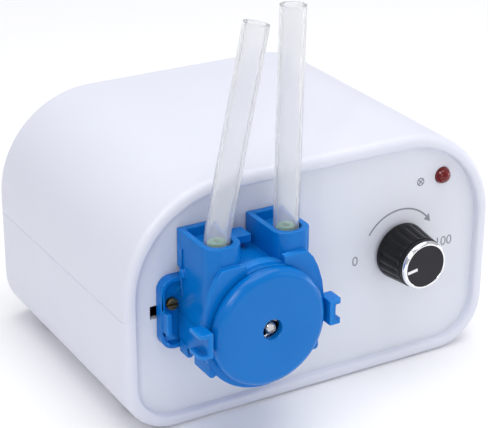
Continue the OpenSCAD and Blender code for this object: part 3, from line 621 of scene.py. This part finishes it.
def print_number(name, text, centre):
    """A dial number, flat on the panel."""
    curve = bpy.data.curves.new(name, "FONT")
    curve.body = text
    curve.size = MARK_H * FONT_TO_NUMBER
    curve.extrude = PRINT_T / 2
    curve.align_x = "CENTER"
    curve.align_y = "CENTER"
    holder = bpy.data.objects.new(name + "_text", curve)
    bpy.context.scene.collection.objects.link(holder)
    view = bpy.context.evaluated_depsgraph_get()
    mesh = bpy.data.meshes.new_from_object(holder.evaluated_get(view))
    bpy.data.objects.remove(holder)
    mesh.transform(out_of_panel(*centre) @ Matrix.Translation((0, 0, PRINT_T / 2)))
    mesh.name = name
    return place(name, mesh, "case", "print")


def print_lamp_mark():
    """Circle with a cross in it, the usual sign for a lamp."""
    ring = [(LAMP_MARK_R - MARK_LINE, 0), (LAMP_MARK_R, 0), (LAMP_MARK_R, PRINT_T),
            (LAMP_MARK_R - MARK_LINE, PRINT_T)]
    verts, faces = turned(ring, out_of_panel(*LAMP_MARK), MARK_SIDES)
    place("lamp_mark", mesh_of("lamp_mark", verts, faces), "case", "print")
    reach, half = LAMP_MARK_R - MARK_LINE / 2, MARK_LINE / 2
    for number, angle in enumerate((45, 135)):
        turn = Matrix.Rotation(math.radians(angle), 2)
        bar = [turn @ Vector(p) for p in ((-reach, -half), (reach, -half), (reach, half), (-reach, half))]
        flat_print(f"lamp_mark_bar_{number + 1}", [tuple(p) for p in bar], LAMP_MARK)


print_scale()
print_number("mark_low", "0", LOW_MARK)
print_number("mark_high", "100", HIGH_MARK)
print_lamp_mark()

# ------------------------------------------------------------------ lamp

LAMP_R = 2.5 * MM
LAMP_BASE = -3 * MM
LAMP_DOME = -0.2 * MM
LAMP_COLLAR_R = LAMP_R + 0.4 * MM
LAMP_COLLAR_TOP = LAMP_BASE + 1 * MM
LAMP_SIDES = 64
DOME_STOP = 89.9  # degrees; just short of the axis
DOME_STEPS = 14


def make_lamp():
    centre = mid("led")
    section = [(ON_AXIS, LAMP_BASE), (LAMP_COLLAR_R, LAMP_BASE), (LAMP_COLLAR_R, LAMP_COLLAR_TOP),
               (LAMP_R, LAMP_COLLAR_TOP)]
    section += fillet(0, LAMP_DOME, LAMP_R, 0, DOME_STOP, DOME_STEPS)
    verts, faces = turned(section, out_of_panel(centre.x, centre.z), LAMP_SIDES)
    place("lamp_lens", mesh_of("lamp_lens", verts, faces), "case", "lamp_red", ["led"])


make_lamp()

# ------------------------------------------------------------------ knob

KNOB_LOW = PANEL_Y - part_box("knob_body")[1].y
KNOB_TOP = stands_out("knob_body")
KNOB_SKIRT_R = 8.6 * MM
KNOB_FRONT_R = 7.4 * MM
KNOB_FLUTES = 18
FLUTE_DEPTH = 0.3 * MM
FLUTE_FADE = 0.7 * MM
COLLAR_H = 1.5 * MM
COLLAR_STEP = 0.22 * MM
KNOB_BORE = 6 * MM
KNOB_BORE_H = 5 * MM
SHAFT_BORE = 3.02 * MM
FACE_SEAT = 1.5 * MM
SKIRT_H = 1.3 * MM
SKIRT_EDGE = 0.25 * MM
SKIRT_RING = 0.8 * MM
COLLAR_RAMP = 0.15 * MM
RIM_EDGE = 0.25 * MM
RIM_LAND = 0.1 * MM
RIM_STEP_SHARE = 0.4  # of the collar's step, left at the front edge
FADE_STEPS = 4
GRIP_STEPS = 6
STEPS_PER_FLUTE = 12


def knob_radius(h):
    return KNOB_SKIRT_R + (KNOB_FRONT_R - KNOB_SKIRT_R) * (h - KNOB_LOW) / (KNOB_TOP - KNOB_LOW)


def make_knob():
    collar = KNOB_TOP - COLLAR_H
    skirt = KNOB_LOW + SKIRT_H
    grip = skirt + FLUTE_FADE
    grip_h = collar - FLUTE_FADE - skirt - FLUTE_FADE
    heights = [KNOB_LOW + SKIRT_EDGE, KNOB_LOW + SKIRT_RING, skirt]
    heights += [skirt + FLUTE_FADE * k / FADE_STEPS for k in range(1, FADE_STEPS + 1)]
    heights += [grip + grip_h * k / GRIP_STEPS for k in range(1, GRIP_STEPS)]
    heights += [collar - FLUTE_FADE + FLUTE_FADE * k / FADE_STEPS for k in range(FADE_STEPS + 1)]

    section = [(SHAFT_BORE, KNOB_TOP - FACE_SEAT), (SHAFT_BORE, KNOB_LOW + KNOB_BORE_H),
               (KNOB_BORE, KNOB_LOW + KNOB_BORE_H), (KNOB_BORE, KNOB_LOW),
               (KNOB_SKIRT_R - SKIRT_EDGE, KNOB_LOW)]
    section += [(knob_radius(h), h) for h in heights]
    section += [(knob_radius(collar) - COLLAR_STEP, collar + COLLAR_RAMP),
                (knob_radius(KNOB_TOP) - COLLAR_STEP * RIM_STEP_SHARE, KNOB_TOP - RIM_EDGE),
                (KNOB_FRONT_R - COLLAR_STEP - RIM_LAND, KNOB_TOP), (ON_AXIS, KNOB_TOP),
                (ON_AXIS, KNOB_TOP - FACE_SEAT)]

    def fluted(r, h, a):
        if r <= KNOB_BORE or not skirt < h < collar:
            return r
        fade = min((h - skirt) / FLUTE_FADE, (collar - h) / FLUTE_FADE, 1)
        valley = (0.5 - 0.5 * math.cos(a * KNOB_FLUTES)) ** 2
        return r - FLUTE_DEPTH * valley * fade

    verts, faces = turned(section, out_of_panel(KNOB_X, KNOB_Z), KNOB_FLUTES * STEPS_PER_FLUTE, fluted)
    place("knob_grip", mesh_of("knob_grip", verts, faces), "knob", "knob_black", ["knob_body"])


make_knob()
for name, edge in (("knob_ring", 0.15 * MM), ("knob_cap", 0.1 * MM), ("knob_pointer", 0.06 * MM)):
    skin(name, edge)

# ------------------------------------------------------------------ pump head

DISC_BACK = PANEL_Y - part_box("rotor_front")[1].y
DISC_FRONT = stands_out("rotor_front")
DISC_R = (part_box("rotor_front")[1].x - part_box("rotor_front")[0].x) / 2
DISC_ROUND = 2.6 * MM
DISC_HOLE_R = 2.9 * MM
DISC_CAVITY_R = 13.4 * MM
DISC_FACE_T = 2 * MM
DISC_BACK_ROUND = 0.6 * MM
DISC_HOLE_ROUND = 0.3 * MM
DISC_SIDES = 160


def make_disc():
    inside = DISC_FRONT - DISC_FACE_T
    section = [(DISC_HOLE_R, inside), (DISC_CAVITY_R, inside), (DISC_CAVITY_R, DISC_BACK)]
    section += fillet(DISC_R - DISC_BACK_ROUND, DISC_BACK + DISC_BACK_ROUND, DISC_BACK_ROUND, 270, 360)
    section += fillet(DISC_R - DISC_ROUND, DISC_FRONT - DISC_ROUND, DISC_ROUND, 0, 90, 10)
    section += fillet(DISC_HOLE_R + DISC_HOLE_ROUND, DISC_FRONT - DISC_HOLE_ROUND, DISC_HOLE_ROUND,
                      90, 180, 4)
    verts, faces = turned(section, out_of_panel(PUMP_X, PUMP_Z), DISC_SIDES)
    disc = place("disc", mesh_of("disc", verts, faces), "rotor", "pump_blue", ["rotor_front"])
    disc.data.materials[0] = FINISH["disc_blue"]


BARREL_R = 16.4 * MM
BAND_RISE = 0.7 * MM
BAND_SUNK = 0.3 * MM
BAND_BACK = 14.8 * MM
BAND_FRONT = 18.2 * MM
BAND_EDGE = 0.3 * MM
BAND_START, BAND_STOP = 66, 114  # degrees about the pump's axis
BAND_STEPS = 16


def make_barrel_band():
    """Raised strip over the barrel's top, from tower to tower."""
    low, high = BARREL_R - BAND_SUNK, BARREL_R + BAND_RISE
    section = [(low, BAND_FRONT), (low, BAND_BACK), (high - BAND_EDGE, BAND_BACK),
               (high, BAND_BACK + BAND_EDGE), (high, BAND_FRONT)]
    where = out_of_panel(PUMP_X, PUMP_Z)
    turns = fillet(0, 0, 1, BAND_START, BAND_STOP, BAND_STEPS)
    rows = [[where @ Vector((r * x, r * y, h)) for r, h in section] for x, y in turns]
    verts, faces = loops(rows, False)
    n = len(section)
    faces += [list(range(n)), [len(verts) - n + k for k in range(n)]]
    place("barrel_band", mesh_of("barrel_band", verts, faces), "case", "pump_blue")


make_disc()
make_barrel_band()
HEAD_EDGE = 0.28 * MM
SCREW_EDGE = 0.12 * MM
SMALL_EDGE = 0.1 * MM
for name in ("pump_housing", "base_bracket"):
    skin(name, HEAD_EDGE)
skin("bracket_screws", SCREW_EDGE)
for name in ("roller_1", "roller_2", "roller_3", "rotor_rear", "dc_jack", "dc_jack_nut"):
    skin(name, SMALL_EDGE)

# ------------------------------------------------------------------ the rest keep their CAD shape

for name, node in frame["nodes"].items():
    if not node.hide_render:
        node.data.materials.clear()
        node.data.materials.append(FINISH[SLOT_OF[name]])

# ------------------------------------------------------------------ stage and light

FLOOR_REACH = 3


def make_stage():
    reach = FLOOR_REACH
    corners = [(-reach, -reach, 0), (reach, -reach, 0), (reach, reach, 0), (-reach, reach, 0)]
    mesh = mesh_of("floor", corners, [(0, 1, 2, 3)])
    floor = bpy.data.objects.new("floor", mesh)
    bpy.context.scene.collection.objects.link(floor)
    paper = Finish("paper_floor", (0.96, 0.96, 0.97, 1), 0.85)
    paper.grain(2 * MM, 0.02 * MM)
    mesh.materials.append(paper.material)


def softbox(name, at, target, width, height, power, colour=(1, 1, 1)):
    light = bpy.data.lights.new(name, "AREA")
    light.shape, light.size, light.size_y = "RECTANGLE", width, height
    light.energy, light.color = power, colour
    lamp = bpy.data.objects.new(name, light)
    bpy.context.scene.collection.objects.link(lamp)
    lamp.location = at
    lamp.rotation_euler = (Vector(target) - Vector(at)).to_track_quat("-Z", "Y").to_euler()
    return lamp


def make_light():
    """Soft studio light. The sheen light shows only in reflections, on the disc's rounded rim."""
    world = bpy.data.worlds.new("studio")
    bpy.context.scene.world = world
    world.use_nodes = True
    sky = world.node_tree.nodes["Background"]
    sky.inputs["Color"].default_value = (0.97, 0.975, 1, 1)
    sky.inputs["Strength"].default_value = 0.52
    softbox("softbox_top", (0.05, -0.05, 0.9), (0, 0, 0.04), 0.9, 0.9, 6)
    softbox("strip_left", (-0.62, -0.6, 0.62), (0, -0.03, 0.04), 0.02, 0.5, 0.8)
    softbox("strip_left_low", (-0.5, -0.78, 0.5), (0, -0.03, 0.04), 0.02, 0.5, 0.7)
    sheen = softbox("sheen_left", (-0.66, -0.27, 0.69), (0, -0.03, 0.04), 0.26, 0.4, 3)
    sheen.visible_diffuse = False
    softbox("softbox_right", (0.8, -0.7, 0.5), (0, 0, 0.04), 0.5, 0.6, 0.7)
    softbox("rim_right", (0.5, -0.14, 0.06), (0.06, -0.04, 0.02), 0.25, 0.1, 0.3)
    bpy.context.scene.view_settings.view_transform = "Standard"
    bpy.context.scene.view_settings.look = "None"


make_stage()
make_light()
